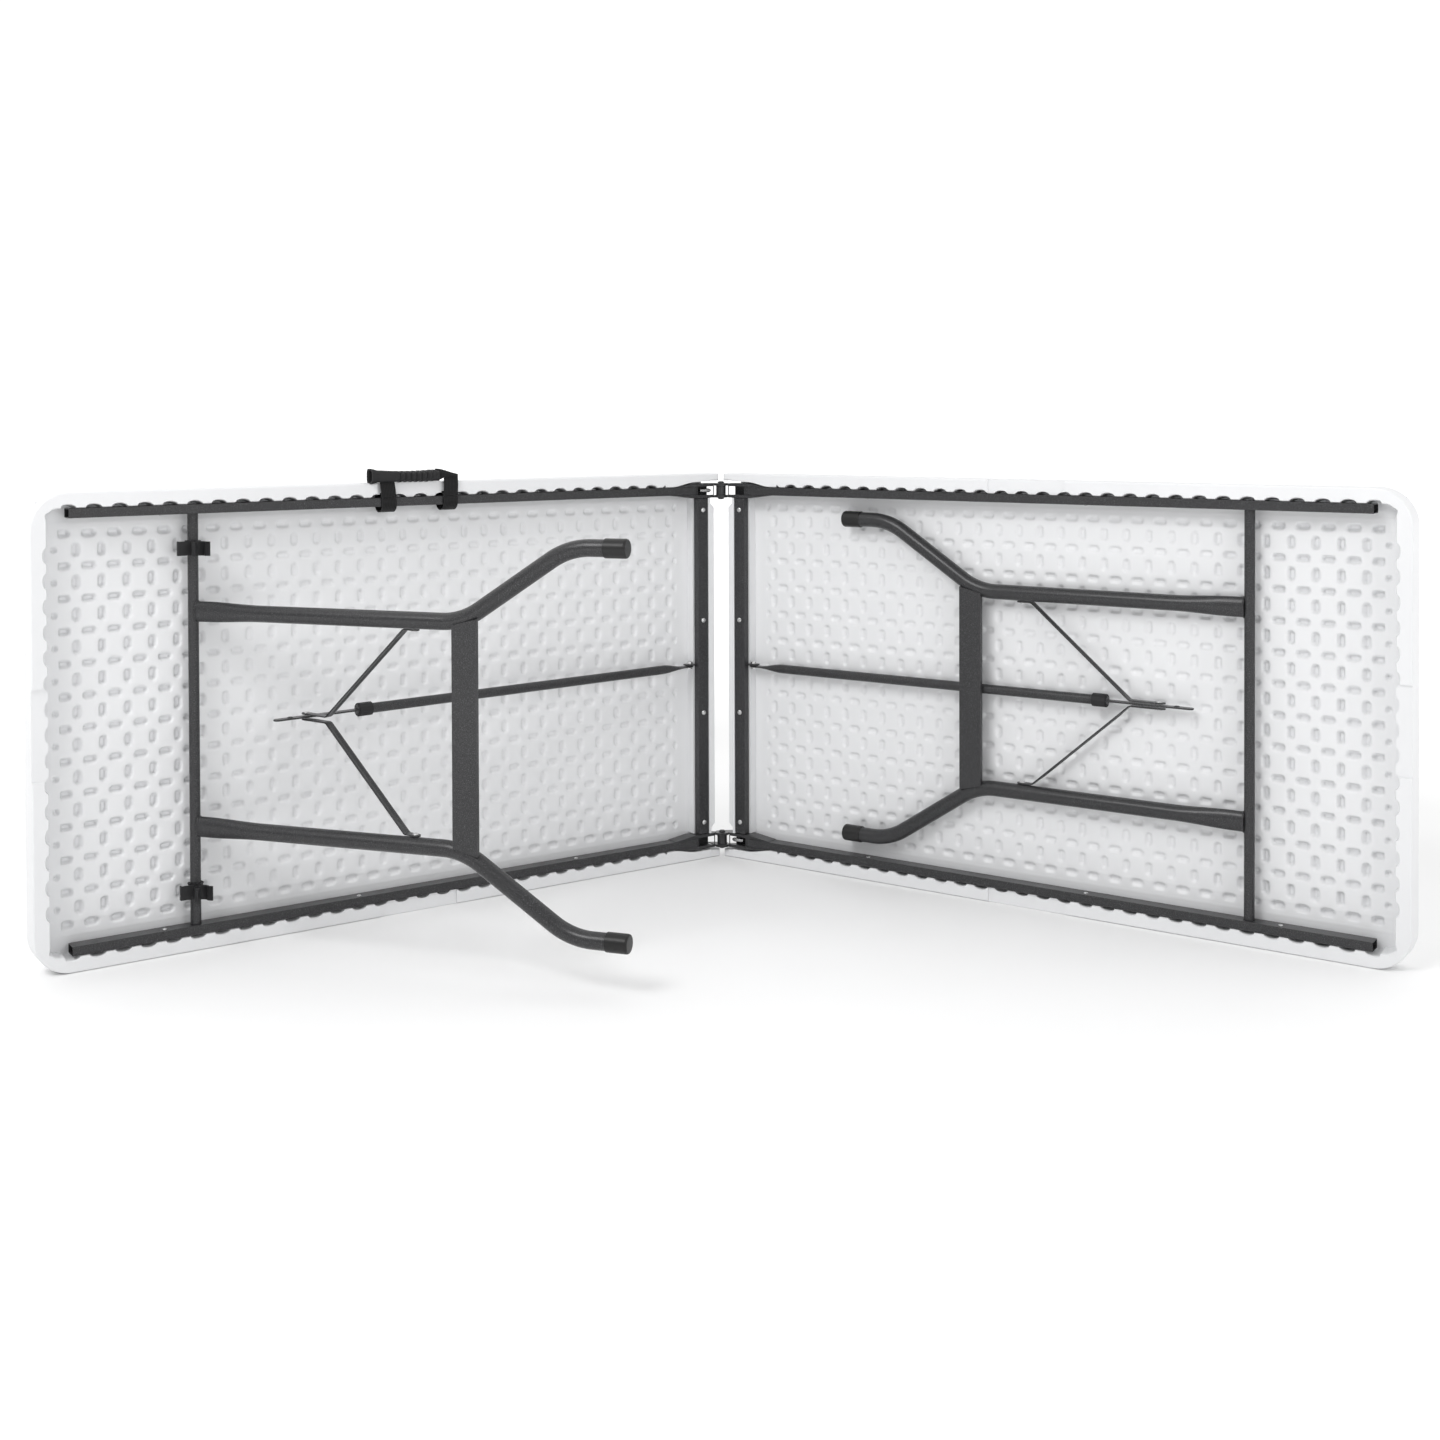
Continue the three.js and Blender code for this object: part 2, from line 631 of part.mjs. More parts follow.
function addLock(half, side, angle) {
  const strutPivot = legPoint(angle, STRUT_PIVOT_S, STRUT_PIVOT_E);
  const apex = apexPoint(angle);
  const struts = new THREE.Group();
  struts.position.set(strutPivot.x, 0, strutPivot.y);
  struts.rotation.y = -apex.clone().sub(strutPivot).angle();
  half.add(struts);
  mirroredPair(struts, (group, place) => {
    add(group, `${side}_strut_${place}`, strut(), materials.steel);
    add(group, `${side}_apex_rivet_${place}`, apexRivet(), materials.zinc);
  });
  const centre = new THREE.Group();
  centre.position.set(ROD_PIVOT.x, 0, ROD_PIVOT.y);
  centre.rotation.y = -apex.clone().sub(ROD_PIVOT).angle();
  half.add(centre);
  add(centre, `${side}_centre_rod`, rod(), materials.steel);
  add(centre, `${side}_rod_tongue`, tongue(), materials.steel);
  add(centre, `${side}_lock_ring`, lockRing(), materials.black);
  add(half, `${side}_rod_lug`, rodLug(), materials.steel);
  add(half, `${side}_rod_bolt`, rodBolt(), materials.zinc);
}

function addClips(half) {
  const frame = new THREE.Group();
  frame.position.set(LEG_PIVOT_U, 0, LEG_PIVOT_N);
  half.add(frame);
  mirroredPair(frame, (group, place) => add(group, `closing_clip_${place}`, clip(), materials.black));
}

function addHandle(half) {
  add(half, "handle_strap_outer", outerStrap(), materials.webbing);
  add(half, "handle_strap_inner", innerStrap(), materials.webbing);
  add(half, "handle_grip", grip(), materials.black);
}

function tableHalf(side, legAngle) {
  const half = new THREE.Group();
  half.position.z = WIDTH / 2;
  half.rotation.set(Math.PI / 2, 0, -HALF_LEAN, "ZYX");
  const left = side === "left";
  add(half, `${side}_tabletop`, tabletop(left ? [OUTER_STRAP_U, INNER_STRAP_U] : []), materials.top);
  add(half, `${side}_crossbar`, crossbar(), materials.steel);
  mirroredPair(half, (group, place) => add(group, `${side}_rail_${place}`, rail(), materials.steel));
  addHinges(half, side);
  addLegs(half, side, legAngle);
  addLock(half, side, legAngle);
  if (left) {
    addClips(half);
    addHandle(half);
  }
  const placed = new THREE.Group();
  placed.scale.x = left ? -1 : 1;
  placed.add(half);
  return placed;
}

const table = new THREE.Group();
table.position.y = HINGE_AXIS_Y;
table.add(tableHalf("left", LEFT_LEG_ANGLE), tableHalf("right", RIGHT_LEG_ANGLE));

export default table;
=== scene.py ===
import json
import math

import bmesh
import bpy
import numpy as np
from mathutils import Matrix, Vector

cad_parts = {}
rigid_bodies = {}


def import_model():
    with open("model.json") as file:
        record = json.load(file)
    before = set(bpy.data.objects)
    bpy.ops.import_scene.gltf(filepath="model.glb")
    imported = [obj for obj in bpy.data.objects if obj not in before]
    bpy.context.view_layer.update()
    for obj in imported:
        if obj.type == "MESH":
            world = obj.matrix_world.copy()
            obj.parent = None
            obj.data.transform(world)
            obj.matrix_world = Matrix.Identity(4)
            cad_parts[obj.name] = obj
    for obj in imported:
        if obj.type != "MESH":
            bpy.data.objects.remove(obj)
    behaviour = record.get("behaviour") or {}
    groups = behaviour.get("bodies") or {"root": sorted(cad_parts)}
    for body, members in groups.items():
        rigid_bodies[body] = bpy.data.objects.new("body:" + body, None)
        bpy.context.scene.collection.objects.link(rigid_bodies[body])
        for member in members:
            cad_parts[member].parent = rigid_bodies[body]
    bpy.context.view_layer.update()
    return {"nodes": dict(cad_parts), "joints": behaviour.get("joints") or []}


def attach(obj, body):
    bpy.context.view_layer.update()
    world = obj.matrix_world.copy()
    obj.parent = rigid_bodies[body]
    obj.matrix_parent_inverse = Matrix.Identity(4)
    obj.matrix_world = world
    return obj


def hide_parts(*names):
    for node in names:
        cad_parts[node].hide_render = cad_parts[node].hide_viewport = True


for leftover in list(bpy.data.objects):
    bpy.data.objects.remove(leftover)

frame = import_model()
JOINTS = {j["name"]: j for j in frame["joints"]}
MM = 0.001
W = Vector((0, 0, 1))

# Sizes that the CAD part also uses, in mm
PIVOT = (962.0, -14.5)
BRACE_PIVOT = (375.0, 3.5)
STRUT_REACH = 232.4
LEG_FAR = 274.5
LEG_END = 706.0
WIDTH = 700.0
LENGTH = 1200.0
RAIL_MIDDLE = 319.0


# ---- frames -------------------------------------------------------------------------------------


def basis(origin, x, z):
    """Local millimetres to the row frame: x along, W across, z out."""
    m = Matrix.Identity(4)
    for i, axis in enumerate((x, W, z)):
        for k in range(3):
            m[k][i] = axis[k] * MM
    for k in range(3):
        m[k][3] = origin[k]
    return m


def joint_at(name):
    return Vector(JOINTS[name]["pos_m"])


class Half:
    """The frames of one half, found from where its joints are."""

    def __init__(self, side):
        self.side = side
        sign = -1 if side == "left" else 1
        hinge = joint_at("table_fold")
        pivot = joint_at(f"{side}_leg_fold")
        to_pivot = pivot - hinge
        lean = math.atan2(-to_pivot.y, sign * to_pivot.x) - math.atan2(PIVOT[1], PIVOT[0])
        self.u = Vector((sign * math.cos(lean), -math.sin(lean), 0))
        self.n = Vector((-sign * math.sin(lean), -math.cos(lean), 0))
        self.top = basis(hinge, self.u, self.n)
        brace = joint_at(f"{side}_brace_turn")
        arm = brace - pivot
        angle = math.atan2(arm.dot(self.n), -arm.dot(self.u)) + math.atan2(BRACE_PIVOT[1], BRACE_PIVOT[0])
        along = -math.cos(angle) * self.u + math.sin(angle) * self.n
        out = -math.sin(angle) * self.u - math.cos(angle) * self.n
        self.leg = basis(pivot, along, out)
        rod = joint_at(f"{side}_rod_turn")
        axis = Vector(JOINTS[f"{side}_ring_slide"]["axis"]).normalized()
        self.rod = basis(rod, axis, sign * axis.cross(W))
        reach = (brace - rod).dot(axis)
        off = (brace - rod - reach * axis).length
        self.reach = (reach + math.sqrt((STRUT_REACH * MM) ** 2 - off**2)) / MM
        apex = rod + axis * self.reach * MM
        strut = (apex - brace).normalized()
        self.strut = basis(brace, strut, sign * strut.cross(W))


HALVES = {side: Half(side) for side in ("left", "right")}
BELOW = Matrix.Diagonal((1, -1, 1, 1))


# ---- meshes -------------------------------------------------------------------------------------


def build(name, mesh, matrix, body, material, angle=38, bevel=0, segments=2, cad=()):
    """Finishes a bmesh drawn in local millimetres as a piece that rides on a CAD body."""
    bmesh.ops.remove_doubles(mesh, verts=mesh.verts, dist=1e-4)
    bmesh.ops.recalc_face_normals(mesh, faces=mesh.faces)
    if bevel:
        sharp = [e for e in mesh.edges if e.is_manifold and e.calc_face_angle(0) > math.radians(angle)]
        bmesh.ops.bevel(
            mesh, geom=sharp, offset=bevel, offset_type="OFFSET", segments=segments, profile=0.5,
            affect="EDGES", clamp_overlap=True,
        )
    bmesh.ops.transform(mesh, matrix=matrix, verts=mesh.verts)
    if matrix.determinant() < 0:
        bmesh.ops.reverse_faces(mesh, faces=mesh.faces)
    data = bpy.data.meshes.new(name)
    mesh.to_mesh(data)
    mesh.free()
    return place(name, data, body, material, angle, cad)


def place(name, data, body, material, angle=38, cad=()):
    data.polygons.foreach_set("use_smooth", [True] * len(data.polygons))
    data.set_sharp_from_angle(angle=math.radians(angle))
    data.materials.clear()
    data.materials.append(material)
    piece = bpy.data.objects.new(name, data)
    bpy.context.scene.collection.objects.link(piece)
    weighted = piece.modifiers.new("weighted", "WEIGHTED_NORMAL")
    weighted.keep_sharp = True
    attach(piece, body)
    if cad:
        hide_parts(*cad)
    return piece


def ring_faces(mesh, rings, closed=True):
    """Joins rings of the same number of vertices, and closes both ends."""
    count = len(rings[0])
    for a, b in zip(rings, rings[1:]):
        for i in range(count):
            k = (i + 1) % count
            mesh.faces.new((a[i], a[k], b[k], b[i]))
    if closed:
        mesh.faces.new(rings[0][::-1])
        mesh.faces.new(rings[-1])


def sweep(stations, sides=40, mesh=None):
    """A bar through stations (x, y, half width, half depth), bent in the x-y plane."""
    mesh = mesh or bmesh.new()
    rings = []
    for k, (x, y, width, depth) in enumerate(stations):
        before, after = stations[max(k - 1, 0)], stations[min(k + 1, len(stations) - 1)]
        run = Vector((after[0] - before[0], after[1] - before[1])).normalized()
        ring = []
        for i in range(sides):
            a = 2 * math.pi * i / sides
            across = math.cos(a) * width
            ring.append(mesh.verts.new((x - run.y * across, y + run.x * across, math.sin(a) * depth)))
        rings.append(ring)
    ring_faces(mesh, rings)
    return mesh


def lathe(profile, sides=48, axis="x", at=(0, 0, 0), mesh=None, closed=True):
    """Turns (radius, height) pairs about a local axis."""
    mesh = mesh or bmesh.new()
    rings = []
    for radius, height in profile:
        ring = []
        for i in range(sides):
            a = 2 * math.pi * i / sides
            p, q = radius * math.cos(a), radius * math.sin(a)
            point = {"x": (height, p, q), "y": (q, height, p), "z": (p, q, height)}[axis]
            ring.append(mesh.verts.new([c + d for c, d in zip(point, at)]))
        rings.append(ring)
    ring_faces(mesh, rings, closed)
    if not closed:
        first, last = rings[0], rings[-1]
        for i in range(sides):
            k = (i + 1) % sides
            mesh.faces.new((last[i], last[k], first[k], first[i]))
    return mesh


def prism(points, low, high, plane="un", mesh=None):
    """Extrudes an outline: plane names its two local axes, and it runs along the third."""
    mesh = mesh or bmesh.new()
    order = {
        "un": lambda a, b, h: (a, h, b),
        "uw": lambda a, b, h: (a, b, h),
        "wn": lambda a, b, h: (h, a, b),
    }[plane]
    rings = [[mesh.verts.new(order(a, b, h)) for a, b in points] for h in (low, high)]
    ring_faces(mesh, rings)
    return mesh


def ribbon_outline(points, thickness):
    """The outline of a strip of even thickness along a line."""
    line = [Vector(p) for p in points]
    normals = []
    for a, b in zip(line, line[1:]):
        d = (b - a).normalized()
        normals.append(Vector((-d.y, d.x)))
    sides = [[], []]
    for i, p in enumerate(line):
        a, b = normals[max(i - 1, 0)], normals[min(i, len(normals) - 1)]
        m = (a + b).normalized()
        step = m * (thickness / 2 / m.dot(b))
        sides[0].append(tuple(p - step))
        sides[1].append(tuple(p + step))
    return sides[0] + sides[1][::-1]


def arc(x, y, radius, start, end, steps):
    angles = [math.radians(start + (end - start) * i / steps) for i in range(steps + 1)]
    return [(x + radius * math.cos(a), y + radius * math.sin(a)) for a in angles]


def smoothstep(t):
    t = min(max(t, 0.0), 1.0)
    return t * t * (3 - 2 * t)


# ---- materials ----------------------------------------------------------------------------------


class Shader:
    """A few node helpers around one Principled material."""

    def __init__(self, name):
        self.material = bpy.data.materials.new(name)
        self.material.use_nodes = True
        self.nodes = self.material.node_tree.nodes
        self.links = self.material.node_tree.links
        self.principled = self.nodes["Principled BSDF"]
        self.coordinates = self.nodes.new("ShaderNodeTexCoord")

    def link(self, source, target):
        self.links.new(source, target)

    def texture(self, kind, coordinates="Object", **values):
        node = self.nodes.new(kind)
        for key, value in values.items():
            if key in node.inputs:
                node.inputs[key].default_value = value
            else:
                setattr(node, key, value)
        self.link(self.coordinates.outputs[coordinates], node.inputs["Vector"])
        return node

    def ramp(self, source, *stops):
        node = self.nodes.new("ShaderNodeValToRGB")
        elements = node.color_ramp.elements
        while len(elements) < len(stops):
            elements.new(0.5)
        for element, (position, colour) in zip(elements, stops):
            element.position = position
            element.color = (*colour, 1) if isinstance(colour, tuple) else (colour, colour, colour, 1)
        self.link(source, node.inputs["Fac"])
        return node.outputs["Color"]

    def bump(self, height, strength, distance, normal=None):
        node = self.nodes.new("ShaderNodeBump")
        node.inputs["Strength"].default_value = strength
        node.inputs["Distance"].default_value = distance
        self.link(height, node.inputs["Height"])
        if normal:
            self.link(normal, node.inputs["Normal"])
        return node.outputs["Normal"]

    def set(self, **values):
        for key, value in values.items():
            self.principled.inputs[key.replace("_", " ")].default_value = value


def hammertone():
    s = Shader("hammertone")
    s.set(Metallic=0.1, Specular_IOR_Level=0.3, Coat_Weight=0.25, Coat_Roughness=0.2)
    cells = s.texture("ShaderNodeTexVoronoi", Scale=620.0, feature="SMOOTH_F1")
    flecks = s.texture("ShaderNodeTexNoise", Scale=950.0, Detail=3.0)
    drift = s.texture("ShaderNodeTexNoise", Scale=14.0, Detail=2.0)
    dark, light = (0.017, 0.017, 0.018), (0.036, 0.036, 0.038)
    colour = s.ramp(flecks.outputs["Fac"], (0.36, dark), (0.58, light), (0.74, (0.11, 0.11, 0.115)))
    s.link(colour, s.principled.inputs["Base Color"])
    s.link(s.ramp(drift.outputs["Fac"], (0.3, 0.3), (0.7, 0.42)), s.principled.inputs["Roughness"])
    normal = s.bump(cells.outputs["Distance"], 0.45, 0.0004)
    s.link(s.bump(flecks.outputs["Fac"], 0.2, 0.0002, normal), s.principled.inputs["Normal"])
    return s.material


def moulded(name, base, other, roughness, grain, depth):
    """Moulded plastic with a fine grain and slight unevenness."""
    s = Shader(name)
    if max(base) < 0.1:
        s.set(Specular_IOR_Level=0.3)
    pebble = s.texture("ShaderNodeTexNoise", Scale=grain, Detail=4.0, Roughness=0.6)
    drift = s.texture("ShaderNodeTexNoise", Scale=5.0, Detail=3.0)
    s.link(s.ramp(drift.outputs["Fac"], (0.3, base), (0.7, other)), s.principled.inputs["Base Color"])
    finish = s.ramp(pebble.outputs["Fac"], (0.3, roughness - 0.06), (0.7, roughness + 0.08))
    s.link(finish, s.principled.inputs["Roughness"])
    s.link(s.bump(pebble.outputs["Fac"], 0.25, depth), s.principled.inputs["Normal"])
    return s.material


def zinc():
    s = Shader("zinc_plate")
    s.set(Metallic=1.0)
    cloud = s.texture("ShaderNodeTexNoise", Scale=180.0, Detail=4.0)
    s.link(s.ramp(cloud.outputs["Fac"], (0.3, 0.52), (0.7, 0.74)), s.principled.inputs["Base Color"])
    s.link(s.ramp(cloud.outputs["Fac"], (0.3, 0.2), (0.7, 0.38)), s.principled.inputs["Roughness"])
    s.link(s.bump(cloud.outputs["Fac"], 0.15, 0.0001), s.principled.inputs["Normal"])
    return s.material


def webbing():
    """Woven strap: UV runs in millimetres along and across."""
    s = Shader("webbing")
    s.set(Roughness=0.85, Sheen_Weight=0.1, Specular_IOR_Level=0.2)
    weft = s.texture("ShaderNodeTexWave", "UV", Scale=0.16, bands_direction="X")
    warp = s.texture("ShaderNodeTexWave", "UV", Scale=0.12, bands_direction="Y")
    fuzz = s.texture("ShaderNodeTexNoise", Scale=1800.0, Detail=3.0)
    mix = s.nodes.new("ShaderNodeMath")
    mix.operation = "MULTIPLY"
    s.link(weft.outputs["Fac"], mix.inputs[0])
    s.link(warp.outputs["Fac"], mix.inputs[1])
    colour = s.ramp(mix.outputs[0], (0.0, (0.006, 0.006, 0.006)), (0.7, (0.024, 0.024, 0.025)))
    s.link(colour, s.principled.inputs["Base Color"])
    normal = s.bump(mix.outputs[0], 0.6, 0.0006)
    s.link(s.bump(fuzz.outputs["Fac"], 0.3, 0.0002, normal), s.principled.inputs["Normal"])
    return s.material


STEEL = hammertone()
TOP = moulded("moulded_top", (0.745, 0.75, 0.76), (0.77, 0.775, 0.785), 0.42, 1300.0, 0.0003)
BLACK = moulded("black_plastic", (0.011, 0.011, 0.012), (0.017, 0.017, 0.018), 0.5, 1600.0, 0.0002)
CAP = moulded("foot_cap", (0.014, 0.014, 0.014), (0.020, 0.020, 0.020), 0.34, 1500.0, 0.0002)
ZINC = zinc()
STRAP = webbing()


# ---- tabletop -----------------------------------------------------------------------------------

PANEL, RIM, FACE = -34.0, -2.0, -47.0
PITCH_U, PITCH_W = 37.0, 48.0


def mirrored_outline(lower):
    return lower + [(u, -w) for u, w in reversed(lower)]


def outer_outline():
    lower = [(13.5, -288), (21, -296), (21, -337), (3, -337), (3, -350)]
    return mirrored_outline(lower + arc(1145, -295, 55, -90, 0, 28))


def offset_outline(points, distance):
    """Moves an anticlockwise outline inwards."""
    count = len(points)
    moved = []
    for i in range(count):
        a, p, b = (Vector(points[k % count]) for k in (i - 1, i, i + 1))
        d0, d1 = (p - a).normalized(), (b - p).normalized()
        n0, n1 = Vector((-d0.y, d0.x)), Vector((-d1.y, d1.x))
        m = (n0 + n1).normalized()
        moved.append(tuple(p + m * (distance / max(m.dot(n1), 0.4))))
    return moved


def quarter(radius, steps):
    """(inset, rise) pairs of a rounded edge, from the face to the side."""
    angles = [math.pi / 2 * i / steps for i in range(steps + 1)]
    return [(radius * (1 - math.sin(a)), radius * (1 - math.cos(a))) for a in angles]


def body_mesh():
    """The outside of the top: a slab with rounded edges."""
    mesh = bmesh.new()
    outline = outer_outline()
    levels = [(inset, FACE + rise) for inset, rise in quarter(4.0, 5)]
    levels += [(inset, RIM - rise) for inset, rise in reversed(quarter(2.6, 5))]
    rings = []
    for inset, level in levels:
        rings.append([mesh.verts.new((u, w, level)) for u, w in offset_outline(outline, inset)])
    ring_faces(mesh, rings)
    return mesh


def flute(distance):
    """How far a scallop of the inner wall goes back, for a distance from its middle."""
    t = abs(distance) / 11.5
    return 5.2 * math.sqrt(1 - t * t) if t < 1 else 0.0


def recess_mesh():
    """The recess, with a scalloped wall."""
    mesh = bmesh.new()
    wall, end, corner = 326.5, 1176.5, 16.0
    step = 1.85
    lower = [(50.0, -wall)]
    count = int((end - corner - 50) / step)
    lower += [(50 + (end - corner - 50) * (i + 1) / count, -wall) for i in range(count)]
    lower += arc(end - corner, corner - wall, corner, -90, 0, 26)[1:]
    count = int((wall - corner) / step)
    lower += [(end, (corner - wall) * (1 - (i + 1) / count)) for i in range(count)]
    outline = lower + [(u, -w) for u, w in reversed(lower[:-1])]

    def scallop(u, w):
        if abs(abs(w) - wall) < 1e-6 and 118 < u < end - corner - 4:
            return flute((u - 111 + PITCH_U / 2) % PITCH_U - PITCH_U / 2)
        if abs(u - end) < 1e-6 and abs(w) < 285:
            return flute((w + PITCH_U / 2) % PITCH_U - PITCH_U / 2)
        if u > end - corner and abs(w) > wall - corner:
            angle = math.atan2(abs(w) - (wall - corner), u - (end - corner))
            return 2.5 * max(0.0, math.sin(angle * 4)) ** 2
        return 0.0

    depths = [scallop(u, w) for u, w in outline]
    levels = [(-3.3, 0.6, 1), (-1.1, RIM - 0.6, 1), (-0.4, RIM - 1.3, 1), (0, RIM - 2.4, 1)]
    levels += [(0.8, -14.0, 1), (1.6, -30.0, 0.7), (2.0, -45.6, 0.4)]
    rings = []
    for inset, level, share in levels:
        base = offset_outline(outline, inset)
        ring = []
        for (u, w), (u0, w0), depth in zip(base, outline, depths):
            out = Vector((0, 0))
            if depth:
                if u0 > end - corner and abs(w0) > wall - corner:
                    out = Vector((u0 - end + corner, (abs(w0) - wall + corner) * math.copysign(1, w0)))
                elif abs(u0 - end) < 1e-6:
                    out = Vector((1, 0))
                else:
                    out = Vector((0, math.copysign(1, w0)))
                out = out.normalized() * depth * share
            ring.append(mesh.verts.new((u + out.x, w + out.y, level)))
        rings.append(ring)
    ring_faces(mesh, rings)
    return mesh


def hinge_pockets():
    """Where the crossbar and the hinges sit."""
    tools = [prism([(26.5, -310.2), (54.3, -310.2), (54.3, 310.2), (26.5, 310.2)], -17.5, 6, "uw")]
    for sign in (1, -1):
        bay = [(-4, 305.6), (57, 305.6), (57, 309), (129, 317), (125, 324.2)]
        bay += [(112 - 60 * t, 326.1 + 9.4 * smoothstep(t)) for t in [i / 8 for i in range(9)]]
        bay += [(-4, 335.5)]
        tools.append(prism([(u, w * sign) for u, w in bay], -34.3, 7, "uw"))
    return tools


def notches(strap_positions):
    """Hand recesses in the middles of the outer edges, and room for the handle's straps."""
    tools = []
    for sign in (1, -1):
        points = [(532, 318), (668, 318), (668, 360), (532, 360)]
        tools.append(prism([(u, w * sign) for u, w in points], RIM - 3, 5, "uw"))
    tools.append(prism([(1168, -67), (1210, -67), (1210, 67), (1168, 67)], RIM - 3, 5, "uw"))
    for u in strap_positions:
        tools.append(lathe([(17.8, -14), (17.8, 14)], 48, "x", (u, RAIL_MIDDLE, PIVOT[1])))
    return tools


def solid_object(name, mesh):
    bmesh.ops.recalc_face_normals(mesh, faces=mesh.faces)
    bmesh.ops.triangulate(mesh, faces=[f for f in mesh.faces if len(f.verts) == 4])
    data = bpy.data.meshes.new(name)
    mesh.to_mesh(data)
    mesh.free()
    made = bpy.data.objects.new(name, data)
    bpy.context.scene.collection.objects.link(made)
    return made


def carve(mesh, *tools):
    """Subtracts tool meshes and returns the result's mesh data."""
    target = solid_object("carving", mesh)
    cutters = [solid_object(f"cutter_{i}", tool) for i, tool in enumerate(tools)]
    for cutter in cutters:
        modifier = target.modifiers.new(cutter.name, "BOOLEAN")
        modifier.object = cutter
        modifier.operation = "DIFFERENCE"
        modifier.solver = "MANIFOLD"
    graph = bpy.context.evaluated_depsgraph_get()
    data = bpy.data.meshes.new_from_object(target.evaluated_get(graph))
    for made in [target, *cutters]:
        bpy.data.objects.remove(made)
    return data


def dimples(u, w):
    """Depth of the moulded dimples on the underside panel, in mm, for arrays of points."""
    depth = np.zeros_like(u)

    def ovals(first_u, first_w, half_u, half_w, deep):
        du = (u - first_u + PITCH_U / 2) % PITCH_U - PITCH_U / 2
        dw = (w - first_w + PITCH_W / 2) % PITCH_W - PITCH_W / 2
        # a stadium: distance from its middle line
        if half_w > half_u:
            d = np.hypot(du, np.maximum(np.abs(dw) - (half_w - half_u), 0)) / half_u
        else:
            d = np.hypot(np.maximum(np.abs(du) - (half_u - half_w), 0), dw) / half_w
        inside = np.clip((1.12 - d) / 0.5, 0, 1)
        bowl = inside * inside * (3 - 2 * inside)
        halo = np.clip((2.3 - d) / 1.3, 0, 1)
        return deep * bowl + 0.5 * halo * halo * (3 - 2 * halo)

    area = (u > 78) & (u < 1166) & (np.abs(w) < 300)
    first_w, last_u = 24.0, 1137.0
    # shallow up to the pivot tube and deeper beyond it
    shade = np.clip((u - 860) / 140, 0, 1)
    deep = 3.2 + 4.3 * shade * shade * (3 - 2 * shade)
    upright = ovals(92.5, first_w, 5.0, 9.6, deep) * (u < last_u + 10)
    lying = ovals(111.0, 0.0, 9.6, 5.0, deep) * (u < 1166)
    depth += np.where(area, np.maximum(upright * (np.abs(w) < 290), lying), 0)
    dw = (w - first_w + PITCH_W / 2) % PITCH_W - PITCH_W / 2
    dot = np.clip((1.25 - np.hypot(u - 1160.0, dw) / 3.8) / 0.7, 0, 1)
    depth = np.where(u > 1152, np.where(np.abs(w) < 290, 5.5 * dot * dot * (3 - 2 * dot), 0), depth)
    for line in (282.0, 303.0):
        ridge = np.exp(-(((np.abs(w) - line) / 1.1) ** 2))
        depth -= 0.45 * ridge * (u > 60)
    depth -= 0.45 * np.exp(-(((u - 1170.5) / 1.2) ** 2))
    return depth


def panel_data(matrix):
    """The dimpled floor of the recess, as a fine grid."""
    spacing = 2.1
    us = np.arange(49.0, 1184.0 + spacing, spacing)
    ws = np.arange(-334.0, 334.0 + spacing, spacing)
    u, w = np.meshgrid(us, ws, indexing="ij")
    n = PANEL - dimples(u, w)
    points = np.stack([u.ravel(), w.ravel(), n.ravel(), np.ones(u.size)])
    points = (np.array(matrix) @ points)[:3].T
    rows, columns = u.shape
    index = np.arange(rows * columns).reshape(rows, columns)
    quads = np.stack([index[:-1, :-1], index[1:, :-1], index[1:, 1:], index[:-1, 1:]], -1).reshape(-1, 4)
    if matrix.determinant() < 0:
        quads = quads[:, ::-1]
    data = bpy.data.meshes.new("panel")
    data.from_pydata(points.tolist(), [], quads.tolist())
    return data


def add_top(half):
    side = half.side
    straps = (648.5, 540.5) if side == "left" else ()
    data = carve(body_mesh(), *hinge_pockets(), *notches(straps), recess_mesh())
    data.transform(half.top)
    if half.top.determinant() < 0:
        data.flip_normals()
    place(f"{side}_top_shell", data, f"{side}_half", TOP, 32, [f"{side}_tabletop"])
    place(f"{side}_top_panel", panel_data(half.top), f"{side}_half", TOP, 80)


# ---- frame, legs and lock -----------------------------------------------------------------------


def round_bar(name, radius, low, high, at, matrix, body, material, edge=0.6, cad=()):
    """A round bar along W with softened ends."""
    profile = [(radius - edge, low), (radius - edge * 0.3, low + edge * 0.3), (radius, low + edge)]
    profile += [(r, low + high - h) for r, h in reversed(profile)]
    mesh = lathe(profile, 48, "y", (at[0], 0, at[1]))
    return build(name, mesh, matrix, body, material, cad=cad)


def dome(name, radius, height, at, toward, matrix, body, material, cad=()):
    """A domed head: at is the middle of its flat side, toward is the local axis it rises along."""
    steps = 8
    profile = [(radius, 0.0), (radius, height * 0.2)]
    for i in range(1, steps):
        a = math.pi / 2 * i / steps
        profile.append((radius * math.cos(a), height * (0.2 + 0.8 * math.sin(a))))
    profile.append((radius * 0.02, height))
    sign = -1 if toward.startswith("-") else 1
    profile = [(r, h * sign) for r, h in profile]
    mesh = lathe(profile, 24, toward[-1], at)
    return build(name, mesh, matrix, body, material, cad=cad)


